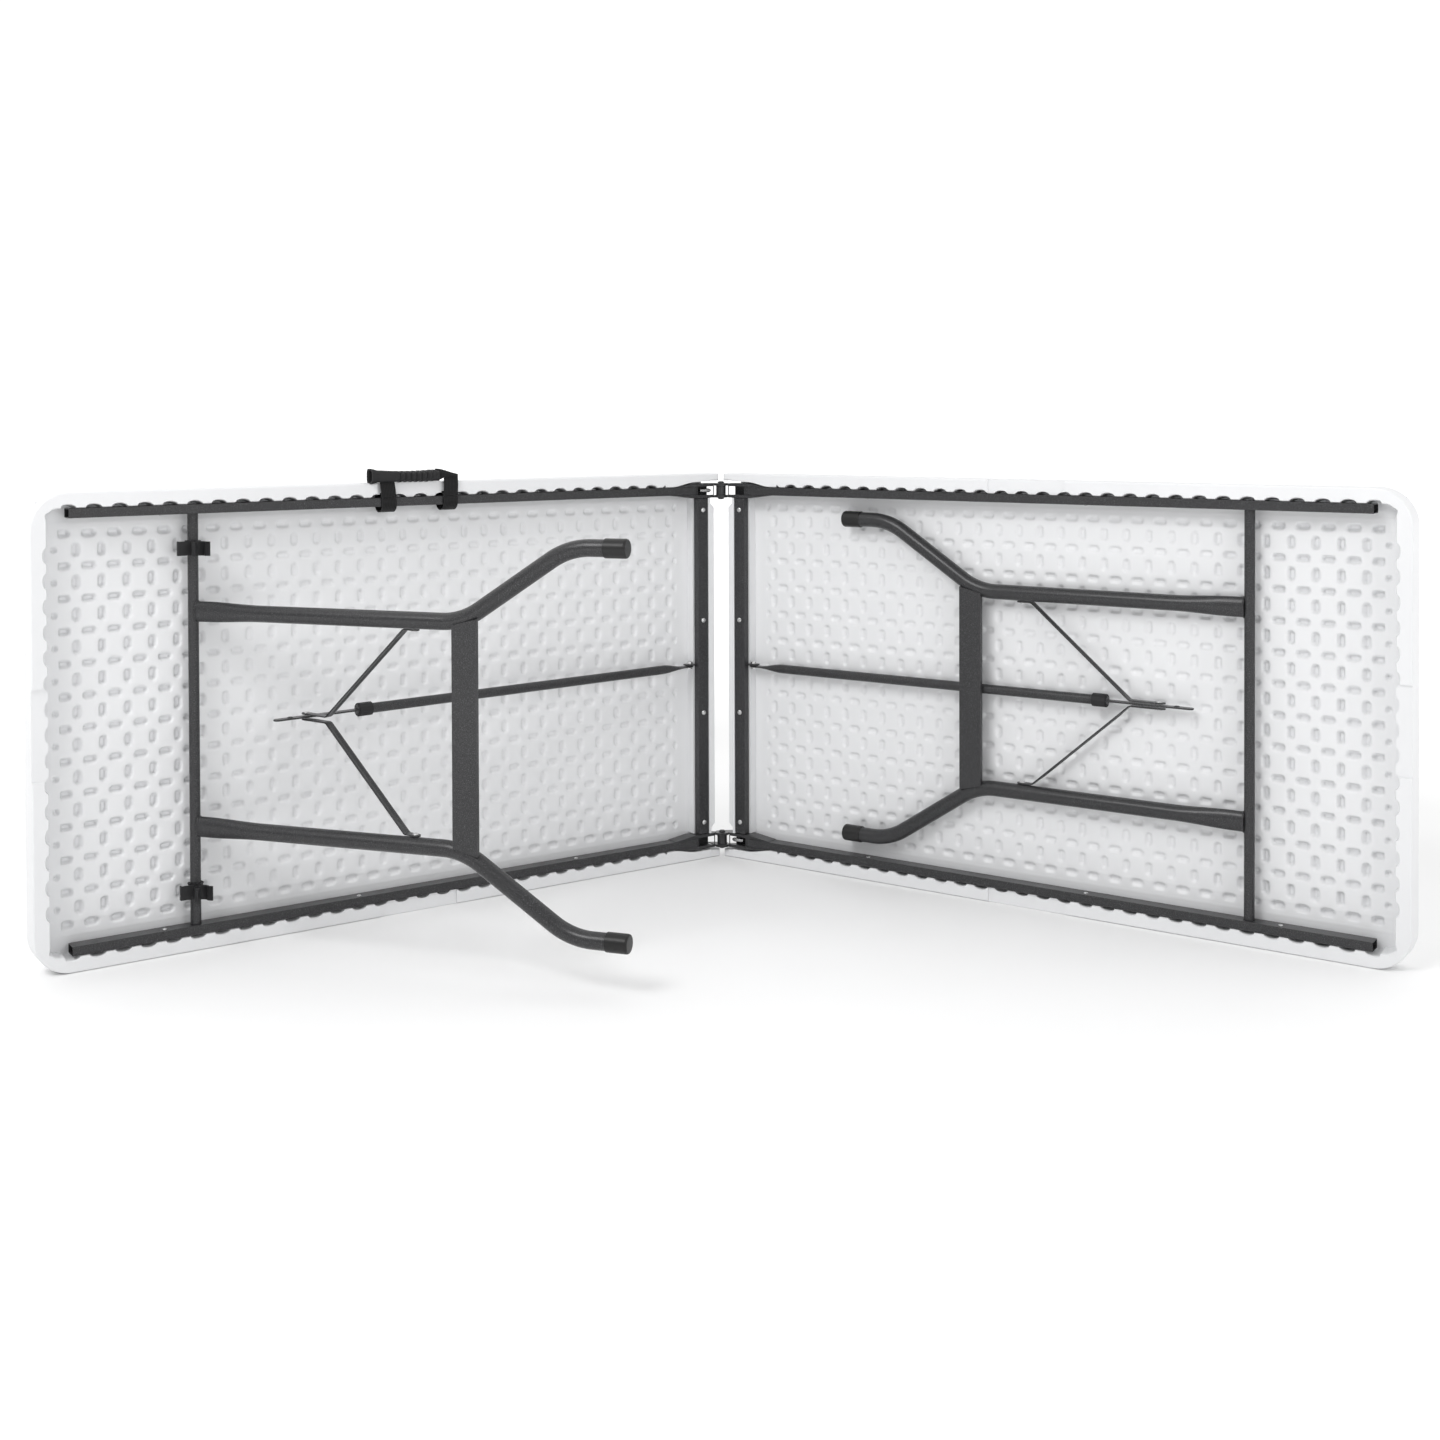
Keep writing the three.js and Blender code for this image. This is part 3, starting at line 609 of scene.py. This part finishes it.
def leg_stations():
    near, far = 163.5, LEG_FAR
    radius, bend = 110.0, math.radians(33.5)
    straight = (far - near - 2 * radius * (1 - math.cos(bend))) / math.sin(bend)
    run = 2 * radius * math.sin(bend) + straight * math.cos(bend)
    stations = []
    for i in range(25):
        s = 8.5 + (122 - 8.5) * i / 24
        t = smoothstep((s - 26) / 92)
        stations.append((s, near, 15.6 + (12.5 - 15.6) * t, 8.4 + (12.5 - 8.4) * t))
    line = arc(421, near + radius, radius, -90, -90 + math.degrees(bend), 14)
    line += arc(421 + run, far - radius, radius, 90 + math.degrees(bend), 90, 14)
    stations += [(x, y, 12.5, 12.5) for x, y in line]
    stations.append((LEG_END - 2, far, 12.5, 12.5))
    return stations


def add_leg(half):
    side, body = half.side, f"{half.side}_leg"
    round_bar(
        f"{side}_pivot_tube", 8.0, -324.2, 324.2, (0, 0), half.leg, body, STEEL,
        cad=[f"{side}_leg_pivot_tube"],
    )
    for place_name, flip in (("upper", Matrix.Identity(4)), ("lower", BELOW)):
        m = half.leg @ flip
        build(
            f"{side}_leg_tube_{place_name}", sweep(leg_stations(), 48), m, body, STEEL,
            cad=[f"{side}_leg_{place_name}"],
        )
        cap = [(12.7, -33.8), (13.3, -34.0), (13.9, -33.5), (14.0, -32.8), (14.0, -4.0), (13.9, -2.4)]
        cap += [(13.4, -1.0), (12.4, -0.1), (11.0, 0.0), (3.0, 0.0)]
        cap = [(r, s + LEG_END + 4) for r, s in cap]
        build(
            f"{side}_cap_{place_name}", lathe(cap, 56, "x", (0, LEG_FAR, 0)), m, body, CAP,
            cad=[f"{side}_foot_cap_{place_name}"],
        )
        # the weld where the leg is wrapped onto the pivot tube
        weld = bmesh.new()
        turns = [math.tau * i / 36 for i in range(36)]
        ring = [(8.2, 163.5 + 15.4 * math.cos(a), 8.2 * math.sin(a)) for a in turns]
        bead(weld, ring, 1.5)
        build(f"{side}_pivot_weld_{place_name}", weld, m, body, STEEL)
        # the welds along the brace bar's end
        for edge, s in (("a", 445.0), ("b", 480.0)):
            weld = bmesh.new()
            line = [(s + 1.2 * math.sin(i * 1.3), 160 + i * 1.1, -11.8 + 0.25 * i) for i in range(8)]
            bead(weld, line, 1.3, closed=False)
            build(f"{side}_bar_weld_{place_name}_{edge}", weld, m, body, STEEL)


def bead(mesh, line, radius, closed=True):
    """A slightly lumpy bead of weld along a line of points."""
    sides = 8
    rings = []
    count = len(line)
    for i, p in enumerate(line):
        a = Vector(line[(i - 1) % count] if closed else line[max(i - 1, 0)])
        b = Vector(line[(i + 1) % count] if closed else line[min(i + 1, count - 1)])
        run = (b - a).normalized()
        side_axis = run.cross(Vector((0.2, 0.9, 0.3))).normalized()
        other = run.cross(side_axis)
        r = radius * (1 + 0.18 * math.sin(i * 2.4))
        if not closed and i in (0, count - 1):
            r *= 0.5
        rings.append([
            mesh.verts.new(Vector(p) + r * (math.cos(t) * side_axis + math.sin(t) * other))
            for t in [math.tau * k / sides for k in range(sides)]
        ])
    if closed:
        rings.append(rings[0])
    ring_faces(mesh, rings, closed=not closed)


def add_lock(half):
    side, reach = half.side, half.reach
    tube_end = reach - 85
    tip = [(-6.2, 0, 1.5, 3.6), (-5, 0, 1.5, 5.2), (-3, 0, 1.5, 6.4), (0, 0, 1.5, 7.0), (4, 0, 1.5, 8.2)]
    stations = tip + [(12, 0, 1.6, 10.2)]
    for i in range(1, 13):
        t = smoothstep(i / 12)
        stations.append((12 + 50 * i / 12, 0, 1.6 + 6.3 * t, 10.2 - 2.3 * t))
    stations += [(tube_end - 0.6, 0, 7.9, 7.9), (tube_end, 0, 7.3, 7.3)]
    build(
        f"{side}_rod", sweep(stations, 40), half.rod, f"{side}_rod", STEEL,
        cad=[f"{side}_centre_rod"],
    )
    tongue = [(tube_end - 4, -7), (reach + 46, -7)] + arc(reach + 48, 0, 7, -80, 80, 14)
    tongue += [(reach + 46, 7), (tube_end - 4, 7)]
    build(
        f"{side}_tongue", prism(tongue, -1.25, 1.25), half.rod, f"{side}_rod", STEEL,
        bevel=0.4, cad=[f"{side}_rod_tongue"],
    )
    dome(
        f"{side}_tongue_stud", 4.6, 1.8, (reach + 28, 1.25, 0), "y", half.rod, f"{side}_rod", STEEL,
    )
    # the faceted sliding collar
    start = reach - 110
    mesh = bmesh.new()
    profile = [(8.7, 0.0), (10.2, 0.0), (10.8, 0.8), (10.8, 23.2), (10.2, 24.0), (8.7, 24.0)]
    profile = [(r, h + start) for r, h in profile]
    lathe(profile, 12, "x", (0, 0, 0), mesh, closed=False)
    build(
        f"{side}_collar", mesh, half.rod, f"{side}_ring", BLACK, angle=20, bevel=0.35,
        cad=[f"{side}_lock_ring"],
    )
    for place_name, flip in (("upper", Matrix.Identity(4)), ("lower", BELOW)):
        m = half.strut @ flip
        strut(side, place_name, m)
        dome(
            f"{side}_apex_head_{place_name}", 4.6, 2.0, (STRUT_REACH, 5.6, 0), "y", m, f"{side}_brace",
            ZINC, cad=[f"{side}_apex_rivet_{place_name}"],
        )
        dome(
            f"{side}_strut_head_{place_name}", 4.8, 2.0, (BRACE_PIVOT[0], 148.0, BRACE_PIVOT[1]), "-y",
            half.leg @ flip, f"{side}_leg", ZINC, cad=[f"{side}_strut_rivet_{place_name}"],
        )


def strut(side, place_name, matrix):
    """A flat bar with a raised rib along its slanted run and rounded ends."""
    legs, apex = 149.3, 4.4
    line = [(-8.5, legs), (16, legs), (19, legs - 1.2)]
    line += [(STRUT_REACH - 49, apex + 1.2), (STRUT_REACH - 46, apex), (STRUT_REACH + 9.5, apex)]
    rows = []
    for a, b in zip(line, line[1:]):
        steps = max(2, int((Vector(b) - Vector(a)).length / 4))
        rows += [tuple(Vector(a).lerp(Vector(b), i / steps)) for i in range(steps)]
    rows.append(line[-1])
    mesh = bmesh.new()
    across = [-6.5, -5.9, -4, -2.6, -1.6, 0, 1.6, 2.6, 4, 5.9, 6.5]
    rings = []
    for k, (x, y) in enumerate(rows):
        a, b = rows[max(k - 1, 0)], rows[min(k + 1, len(rows) - 1)]
        run = Vector((b[0] - a[0], b[1] - a[1])).normalized()
        face = Vector((-run.y, run.x))
        end = min(x + 8.5, STRUT_REACH + 9.5 - x)
        narrow = math.sqrt(max(0.08, 1 - max(0.0, 1 - end / 6.5) ** 2))
        rib = 1.5 * smoothstep((x - 24) / 14) * smoothstep((STRUT_REACH - 52 - x) / 14)
        ring = []
        for z in across:
            lift = rib * max(0.0, 1 - (abs(z) / 3.4) ** 2) ** 0.8 if abs(z) < 3.4 else 0
            inset = 0.35 if abs(z) > 6.4 else 0
            away = 1.1 + lift - inset
            ring.append(mesh.verts.new((x + face.x * away, y + face.y * away, z * narrow)))
        for z in reversed(across):
            lift = rib * max(0.0, 1 - (abs(z) / 3.4) ** 2) ** 0.8 if abs(z) < 3.4 else 0
            inset = 0.35 if abs(z) > 6.4 else 0
            away = 1.1 - lift - inset
            ring.append(mesh.verts.new((x - face.x * away, y - face.y * away, z * narrow)))
        rings.append(ring)
    ring_faces(mesh, rings)
    build(
        f"{side}_strut_bar_{place_name}", mesh, matrix, f"{side}_brace", STEEL,
        angle=50, cad=[f"{side}_strut_{place_name}"],
    )


def add_frame_details(half):
    side, body = half.side, f"{half.side}_half"
    for i, w in enumerate((-284, -84, 84, 284)):
        dome(f"{side}_crossbar_rivet_{i}", 4.2, 2.0, (37.5, w, -3.0), "z", half.top, body, ZINC)
    for sign, place_name in ((1, "upper"), (-1, "lower")):
        for i, u in enumerate((300, 700, 1010)):
            dome(
                f"{side}_rail_screw_{place_name}_{i}", 3.6, 1.8, (u, sign * 312.0, -12.0),
                "-y" if sign > 0 else "y", half.top, body, ZINC,
            )


# ---- clips and handle ---------------------------------------------------------------------------


def add_clips(half):
    local = half.top @ Matrix.Translation((PIVOT[0], 0, PIVOT[1]))
    for place_name, flip in (("upper", Matrix.Identity(4)), ("lower", BELOW)):
        middle, wall = 9.6, 2.6
        shapes = [
            ribbon_outline(arc(0, 0, middle, -50, 230, 48), wall),
            ribbon_outline([(11.5, 43.5), *arc(0, 29, middle, 52, -195, 44), (-14, 37)], wall),
            ribbon_outline([(0, 14), (18, 11.2), (25, 11.2), (25, 5.5)], wall),
            [(-5, middle), (5, middle), (5, 29 - middle), (-5, 29 - middle)],
        ]
        for k, shape in enumerate(shapes):
            build(
                f"clip_{place_name}_{k}", prism(shape, 249.2, 270.8), local @ flip, f"clip_{place_name}",
                BLACK, angle=30, bevel=0.5,
                cad=[f"closing_clip_{place_name}"] if k == 0 else (),
            )
        # moulded stiffening lips above and below
        for k, (low, high) in enumerate(((249.0, 250.8), (269.2, 271.0))):
            lip = ribbon_outline(arc(0, 0, 10.2, -48, 228, 40), 3.4)
            build(
                f"clip_lip_{place_name}_{k}", prism(lip, low, high), local @ flip, f"clip_{place_name}",
                BLACK, angle=30, bevel=0.4,
            )


def strap_band(name, centre, lean, top, cad):
    """Webbing looped round the rail, rising in front of the rim."""
    half_width = 12.5
    # round the rail, then from the top of the loop up the front of the rim
    loop = arc(RAIL_MIDDLE, -14.5, 15.9, 62, -292, 70)
    rise = [(RAIL_MIDDLE + 8 + (top - RAIL_MIDDLE - 8) * t, 1.0 + 0.9 * math.sin(t * math.pi)) for t in
            [i / 14 for i in range(15)]]
    line = loop[::-1]
    line = [p for p in line if not (p[0] > RAIL_MIDDLE + 9 and p[1] > -3)] + rise
    mesh = bmesh.new()
    uv = mesh.loops.layers.uv.new("UVMap")
    rows, travelled = [], 0.0
    across = [half_width * (-1 + 2 * i / 8) for i in range(9)]
    for k, (w, n) in enumerate(line):
        a, b = line[max(k - 1, 0)], line[min(k + 1, len(line) - 1)]
        run = Vector((b[0] - a[0], b[1] - a[1])).normalized()
        face = Vector((-run.y, run.x))
        if k:
            travelled += (Vector(line[k]) - Vector(line[k - 1])).length
        t = max(0.0, (w - RAIL_MIDDLE) / (top - RAIL_MIDDLE)) if n > -3 else 0
        ring = []
        for x in across:
            ring.append((mesh.verts.new((centre + x + lean * t, w + face.x * 0.85, n + face.y * 0.85)), x))
        for x in reversed(across):
            ring.append((mesh.verts.new((centre + x + lean * t, w - face.x * 0.85, n - face.y * 0.85)), x))
        rows.append((ring, travelled))
    count = len(rows[0][0])
    for (ra, ta), (rb, tb) in zip(rows, rows[1:]):
        for i in range(count):
            k = (i + 1) % count
            face = mesh.faces.new((ra[i][0], ra[k][0], rb[k][0], rb[i][0]))
            corners = ((ra[i][1], ta), (ra[k][1], ta), (rb[k][1], tb), (rb[i][1], tb))
            for loop_corner, (x, t) in zip(face.loops, corners):
                loop_corner[uv].uv = (t, x)
    mesh.faces.new([v for v, _ in rows[0][0]][::-1])
    mesh.faces.new([v for v, _ in rows[-1][0]])
    return build(name, mesh, HALVES["left"].top, "handle", STRAP, angle=60, cad=cad)


def strap_shoulder(half):
    """Where the inner strap turns over into the end of the grip."""
    mesh = bmesh.new()
    uv = mesh.loops.layers.uv.new("UVMap")
    count, rows = 18, 10
    sides = []
    for face_n in (2.3, -1.2):
        grid = []
        for i in range(count + 1):
            t = i / count
            u = 528.2 + 38 * t
            top = 363.0 + 8.2 * smoothstep(t) - 1.2 * (1 - t) ** 6
            low = 358.0 - 6.0 * smoothstep((t - 0.5) * 2)
            bow = 1.6 * math.sin(math.pi * t)
            grid.append([
                mesh.verts.new((
                    u,
                    low + (top - low) * k / rows,
                    face_n + bow - 5.5 * smoothstep(k / rows - 0.35) * t,
                ))
                for k in range(rows + 1)
            ])
        sides.append(grid)

    def quad(*corners):
        face = mesh.faces.new(corners)
        for corner in face.loops:
            corner[uv].uv = (corner.vert.co.y, corner.vert.co.x)

    front, back = sides
    for i in range(count):
        for k in range(rows):
            quad(front[i][k], front[i + 1][k], front[i + 1][k + 1], front[i][k + 1])
            quad(back[i][k], back[i][k + 1], back[i + 1][k + 1], back[i + 1][k])
        quad(front[i][0], back[i][0], back[i + 1][0], front[i + 1][0])
        quad(front[i][rows], front[i + 1][rows], back[i + 1][rows], back[i][rows])
    for k in range(rows):
        quad(front[0][k], front[0][k + 1], back[0][k + 1], back[0][k])
        quad(front[count][k], back[count][k], back[count][k + 1], front[count][k + 1])
    build("handle_band_shoulder", mesh, half.top, "handle", STRAP, angle=60)


def add_handle(half):
    strap_band("handle_band_outer", 648.5, 5.0, 356, ["handle_strap_outer"])
    strap_band("handle_band_inner", 540.5, 0.0, 361.5, ["handle_strap_inner"])
    strap_shoulder(half)
    # the moulded grip: a rounded channel, ridged for the fingers, its outer end flared
    mesh = bmesh.new()
    rings = []
    steps = 118
    for i in range(steps + 1):
        u = 562 + 119 * i / steps
        t = i / steps
        ridge = 1.5 * math.sin((u - 566) / 9.5 * math.tau)
        ridge = ridge * smoothstep((t - 0.06) / 0.08) * smoothstep((0.66 - t) / 0.08)
        dip = -2.2 * math.sin(math.pi * min(t / 0.85, 1.0))
        flare = 3.0 * smoothstep((t - 0.88) / 0.12) - 2.5 * smoothstep((0.08 - t) / 0.08)
        bottom, top = 351.0 + 0.6 * ridge - 0.8 * max(flare, 0), 370.5 + dip + ridge * 0.3 + flare
        front, back = 7.2 + ridge + 0.5 * flare, -13.6 - 0.4 * flare
        cy, cz = (bottom + top) / 2, (front + back) / 2
        hy, hz = (top - bottom) / 2, (front - back) / 2
        ring = []
        for k in range(36):
            a = math.tau * k / 36
            c, s = math.cos(a), math.sin(a)
            p = 0.55
            ring.append(mesh.verts.new((
                u, cy + hy * math.copysign(abs(c) ** p, c), cz + hz * math.copysign(abs(s) ** p, s)
            )))
        rings.append(ring)
    # the open mouth at the flared end
    middle = sum((v.co for v in rings[-1]), Vector()) / len(rings[-1])
    for share, back in ((0.84, 0.0), (0.7, -3.0), (0.62, -14.0)):
        shift = Vector((back, 0, 0))
        rings.append([mesh.verts.new(middle + (v.co - middle) * share + shift) for v in rings[steps]])
    ring_faces(mesh, rings)
    build(
        "handle_moulded_grip", mesh, half.top, "handle", BLACK, angle=50,
        cad=["handle_grip"],
    )


# ---- dressing the CAD pieces that stay ----------------------------------------------------------


def dress(name, material, width):
    """Softens the edges of a CAD node with modifiers, and gives it its finish."""
    node = frame["nodes"][name]
    node.data.materials.clear()
    node.data.materials.append(material)
    node.data.polygons.foreach_set("use_smooth", [True] * len(node.data.polygons))
    node.data.set_sharp_from_angle(angle=math.radians(40))
    weld = node.modifiers.new("weld", "WELD")
    weld.merge_threshold = 0.00001
    bevel = node.modifiers.new("bevel", "BEVEL")
    bevel.width = width * MM
    bevel.segments = 2
    bevel.limit_method = "ANGLE"
    bevel.angle_limit = math.radians(40)
    bevel.harden_normals = False
    weighted = node.modifiers.new("weighted", "WEIGHTED_NORMAL")
    weighted.keep_sharp = False


def dress_all():
    for name, node in frame["nodes"].items():
        if node.hide_render:
            continue
        if "rivet" in name or "bolt" in name:
            dress(name, ZINC, 0.4)
        elif "tabletop" in name:
            dress(name, TOP, 2.0)
        elif "rail" in name:
            dress(name, STEEL, 0.55)
        elif "crossbar" in name:
            dress(name, STEEL, 0.7)
        else:
            dress(name, STEEL, 0.5)


# ---- floor, light and camera --------------------------------------------------------------------


def area_light(name, place_at, target, size, power):
    data = bpy.data.lights.new(name, "AREA")
    data.shape = "RECTANGLE"
    data.size, data.size_y = size
    data.energy = power
    made = bpy.data.objects.new(name, data)
    made.location = place_at
    made.rotation_mode = "QUATERNION"
    made.rotation_quaternion = (Vector(target) - Vector(place_at)).to_track_quat("-Z", "Y")
    bpy.context.scene.collection.objects.link(made)


def add_studio():
    s = Shader("studio_floor")
    soft = s.texture("ShaderNodeTexNoise", Scale=1.5, Detail=3.0)
    s.link(s.ramp(soft.outputs["Fac"], (0.3, 0.90), (0.7, 0.93)), s.principled.inputs["Base Color"])
    s.set(Roughness=0.65)
    # the far floor brightens into the white background
    away = s.nodes.new("ShaderNodeVectorMath")
    away.operation = "LENGTH"
    fade = s.nodes.new("ShaderNodeMapRange")
    for socket, value in (("From Min", 1.6), ("From Max", 3.6), ("To Min", 0.0), ("To Max", 0.45)):
        fade.inputs[socket].default_value = value
    s.link(s.coordinates.outputs["Object"], away.inputs[0])
    s.link(away.outputs["Value"], fade.inputs["Value"])
    s.link(fade.outputs["Result"], s.principled.inputs["Emission Strength"])
    s.set(Emission_Color=(1, 1, 1, 1))
    mesh = bmesh.new()
    bmesh.ops.create_grid(mesh, x_segments=1, y_segments=1, size=30)
    data = bpy.data.meshes.new("studio_floor")
    mesh.to_mesh(data)
    mesh.free()
    data.materials.append(s.material)
    floor = bpy.data.objects.new("studio_floor", data)
    floor.location.z = -0.0005
    bpy.context.scene.collection.objects.link(floor)
    world = bpy.data.worlds.new("studio")
    world.use_nodes = True
    # white behind the table and overhead, dimmer in front, so that the tubes have dark sides
    nodes, links = world.node_tree.nodes, world.node_tree.links
    where = nodes.new("ShaderNodeTexCoord")
    split = nodes.new("ShaderNodeSeparateXYZ")
    ramp = nodes.new("ShaderNodeValToRGB")
    links.new(where.outputs["Generated"], split.inputs[0])
    shift = nodes.new("ShaderNodeMath")
    shift.operation = "MULTIPLY_ADD"
    shift.inputs[1].default_value = 0.5
    shift.inputs[2].default_value = 0.5
    links.new(split.outputs["Y"], shift.inputs[0])
    links.new(shift.outputs[0], ramp.inputs["Fac"])
    ramp.color_ramp.elements[0].position = 0.30
    ramp.color_ramp.elements[0].color = (0.46, 0.46, 0.46, 1)
    ramp.color_ramp.elements[1].position = 0.52
    ramp.color_ramp.elements[1].color = (1, 1, 1, 1)
    links.new(ramp.outputs["Color"], nodes["Background"].inputs["Color"])
    world.node_tree.nodes["Background"].inputs["Strength"].default_value = 1.1
    bpy.context.scene.world = world
    bpy.context.scene.view_settings.view_transform = "Standard"
    area_light("key", (-2.2, -2.6, 3.4), (0, 0, 0.2), (1.8, 1.8), 84)
    area_light("fill", (2.6, -3.2, 2.2), (0, 0, 0.3), (2.0, 2.0), 38)


def add_camera():
    hinge = joint_at("table_fold")
    data = bpy.data.cameras.new("camera")
    data.sensor_width = 36
    data.lens = 43.17
    data.shift_y = -0.197
    camera = bpy.data.objects.new("camera", data)
    camera.location = (-0.0014, hinge.y - 3.1465, 0.8176)
    look = Vector((0, math.cos(0.016), -math.sin(0.016)))
    camera.rotation_mode = "QUATERNION"
    turn = look.to_track_quat("-Z", "Y").to_matrix().to_4x4() @ Matrix.Rotation(-0.0035, 4, "Z")
    camera.rotation_quaternion = turn.to_quaternion()
    data.dof.use_dof = False
    data.clip_start, data.clip_end = 0.05, 100
    bpy.context.scene.collection.objects.link(camera)
    bpy.context.scene.camera = camera


for table_half in HALVES.values():
    add_top(table_half)
    add_leg(table_half)
    add_lock(table_half)
    add_frame_details(table_half)
add_clips(HALVES["left"])
add_handle(HALVES["left"])
dress_all()
add_studio()
add_camera()
